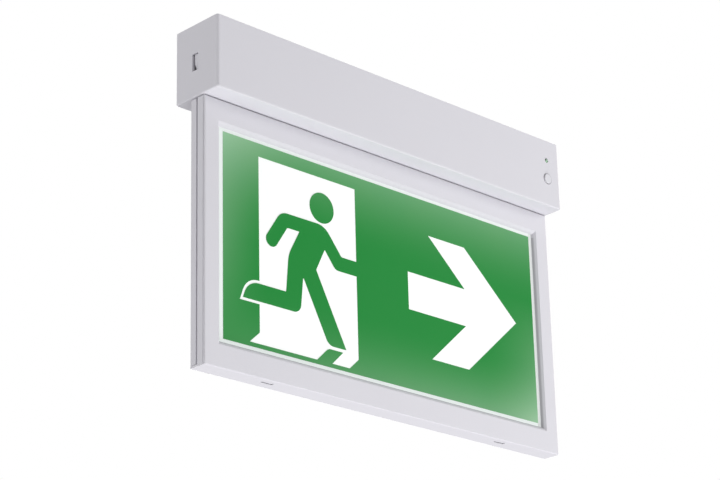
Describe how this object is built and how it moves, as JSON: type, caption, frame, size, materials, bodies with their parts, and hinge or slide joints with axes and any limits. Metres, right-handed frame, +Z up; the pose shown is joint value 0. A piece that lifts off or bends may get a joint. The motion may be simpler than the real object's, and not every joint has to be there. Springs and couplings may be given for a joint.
{
  "type": "emergency exit light",
  "caption": "Ceiling-mounted emergency exit light: shallow housing with battery, driver and test button, and an edge-lit running-figure and arrow sign hung below it.",
  "frame": {"origin": "centre of the face that meets the ceiling", "axes": "+X along the sign to the right as its legend is read, -Y the way the legend faces, +Z up into the ceiling"},
  "size_m": [0.35, 0.0458, 0.249],
  "materials": {
    "white_plastic": "fine satin moulded polycarbonate, very pale cool grey-white",
    "button_plastic": "satin light grey button",
    "black_rubber": "matt black rubber",
    "black_plastic": "matt black moulding",
    "terminal_plastic": "white nylon",
    "connector_plastic": "natural nylon",
    "plated_steel": "zinc plated steel",
    "low_voltage_wire": "insulated twin lead",
    "circuit_board": "green solder mask on glass fibre",
    "white_board": "white solder mask",
    "transformer_tape": "yellow tape on ferrite",
    "can_sleeve": "sleeved aluminium can",
    "fuse_ceramic": "ceramic cartridge",
    "battery_wrap": "shrink wrapped cells",
    "green_lamp": "tinted lamp dome",
    "green_film": "translucent green film, lit from behind",
    "opal_acrylic": "opal acrylic, lit from behind",
    "clear_acrylic": "polished clear acrylic",
    "white_sheet": "matt white reflector sheet",
    "aluminium_channel": "plain extruded aluminium",
    "led_phosphor": "yellow phosphor",
    "pad_foam": "dark foam"
  },
  "bodies": {
    "fixture": {"mounting_plate": "white_plastic", "snap_latches": "white_plastic", "housing_cover": "white_plastic", "cable_grommet": "black_rubber", "terminal_block": "terminal_plastic", "terminal_screws": "plated_steel", "driver_board": "circuit_board", "transformer": "transformer_tape", "capacitors": "can_sleeve", "driver_chips": "black_plastic", "fuse": "fuse_ceramic", "board_headers": "connector_plastic", "battery_pack": "battery_wrap", "battery_clips": "terminal_plastic", "battery_lead": "low_voltage_wire", "battery_plug": "connector_plastic", "indicator_board": "circuit_board", "indicator_led": "green_lamp", "indicator_lead": "low_voltage_wire", "switch_body": "black_plastic", "front_bezel": "white_plastic", "sign_front_frame": "white_plastic", "sign_rear_shell": "white_plastic", "legend_film": "green_film", "diffuser_panel": "opal_acrylic", "light_guide": "clear_acrylic", "reflector_sheet": "white_sheet", "led_channel": "aluminium_channel", "led_board": "white_board", "led_chips": "led_phosphor", "guide_pads": "pad_foam", "sign_fixing_screws": "plated_steel", "lead_bush": "black_rubber", "led_lead": "low_voltage_wire"},
    "test_button": {"test_button_cap": "button_plastic", "switch_plunger": "connector_plastic"}
  },
  "joints": [
    {"name": "test_button_press", "type": "slide", "parent": "fixture", "child": "test_button", "axis": [0, 1, 0], "range_m": [0, 0.0008], "stiffness_N_per_m": 400, "springref_m": -0.002}
  ]
}
